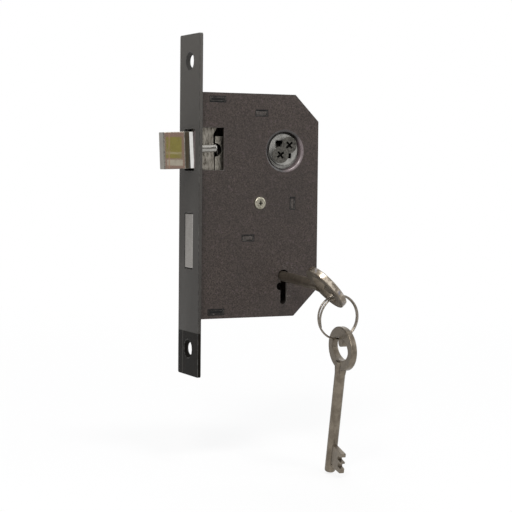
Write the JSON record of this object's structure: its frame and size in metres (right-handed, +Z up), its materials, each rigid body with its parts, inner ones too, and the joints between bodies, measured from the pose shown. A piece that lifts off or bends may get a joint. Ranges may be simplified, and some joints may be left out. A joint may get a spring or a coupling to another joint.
{
  "type": "lever mortice sashlock with keys",
  "caption": "Upright lever mortice sashlock: bevelled spring latch drawn by a square-holed follower, deadbolt thrown by a lever key, slim forend, and a spare key on a split ring.",
  "frame": {"origin": "midway between the two forend screw holes, on the forend's back face", "axes": "+X into the door away from the forend, -Y out of the cover, +Z up along the forend"},
  "size_m": [0.0746, 0.0747, 0.1937],
  "materials": {
    "forend_metal": "satin, cool grey",
    "case_metal": "satin, warm brown-grey, fine speckle",
    "bare_steel": "bare pressed steel",
    "bolt_steel": "brushed nickel plate",
    "latch_chrome": "polished nickel plate",
    "zinc": "die-cast zinc, as cast",
    "screw_metal": "plated, dull",
    "spring_steel": "oiled spring steel",
    "lever_brass": "stamped brass",
    "key_nickel": "worn brownish nickel plate",
    "ring_steel": "plated steel wire"
  },
  "bodies": {
    "case": {"forend": "forend_metal", "case_tray": "case_metal", "case_cover": "case_metal", "cap_post": "bare_steel", "cap_screw": "screw_metal", "latch_guide": "case_metal", "spring_bracket": "case_metal", "lever_keeper": "case_metal", "lever_pivot": "bare_steel", "spring_abutment": "bare_steel", "latch_spring": "spring_steel", "follower_spring": "spring_steel"},
    "latch": {"latch_head": "latch_chrome", "latch_rod": "bare_steel", "latch_carriage": "bare_steel"},
    "follower": {"follower": "zinc", "screw_upper": "screw_metal", "screw_lower": "screw_metal"},
    "deadbolt": {"deadbolt_head": "bolt_steel", "deadbolt_tail": "bare_steel", "tail_rivets": "bare_steel", "bolt_stump": "bare_steel"},
    "lever_back": {"lever_back": "lever_brass", "lever_spring_back": "spring_steel"},
    "lever_front": {"lever_front": "lever_brass", "lever_spring_front": "spring_steel"},
    "key": {"key_in_lock": "key_nickel"},
    "ring": {"split_ring": "ring_steel"},
    "spare_key": {"spare_key": "key_nickel"}
  },
  "joints": [
    {"name": "follower_turn", "type": "hinge", "parent": "case", "child": "follower", "pos_m": [0.0429, 0, 0.02575], "axis": [0, 1, 0], "range_deg": [0, 50], "deforming": ["follower_spring"]},
    {"name": "latch_slide", "type": "slide", "parent": "case", "child": "latch", "axis": [1, 0, 0], "range_m": [0, 0.0124], "stiffness_N_per_m": 800, "springref_m": -0.01, "deforming": ["latch_spring"]},
    {"name": "deadbolt_slide", "type": "slide", "parent": "case", "child": "deadbolt", "axis": [-1, 0, 0], "range_m": [0, 0.014]},
    {"name": "key_turn", "type": "hinge", "parent": "case", "child": "key", "pos_m": [0.0429, 0, -0.032], "axis": [-0.0192, -0.9989, -0.0419], "range_deg": [0, 136.8]},
    {"name": "lever_back_lift", "type": "hinge", "parent": "case", "child": "lever_back", "pos_m": [0.021, 0, -0.01], "axis": [0, -1, 0], "range_deg": [-5.2, 0]},
    {"name": "lever_front_lift", "type": "hinge", "parent": "case", "child": "lever_front", "pos_m": [0.021, 0, -0.01], "axis": [0, -1, 0], "range_deg": [-5.2, 0]},
    {"name": "ring_swing", "type": "hinge", "parent": "key", "child": "ring", "pos_m": [0.04797, -0.04963, -0.03837], "axis": [-0.0175, -0.9998, 0], "range_deg": [-5, 30]},
    {"name": "spare_key_swing", "type": "hinge", "parent": "ring", "child": "spare_key", "pos_m": [0.04798, -0.04919, -0.05695], "axis": [0.9987, -0.0506, 0], "range_deg": [-10, 30]}
  ],
  "couplings": [
    {"joint": "follower_turn", "follows": "latch_slide", "rad_per_m": 70.376},
    {"joint": "lever_back_lift", "follows": "key_turn", "ratio": -0.03655},
    {"joint": "lever_front_lift", "follows": "key_turn", "ratio": -0.03655}
  ]
}
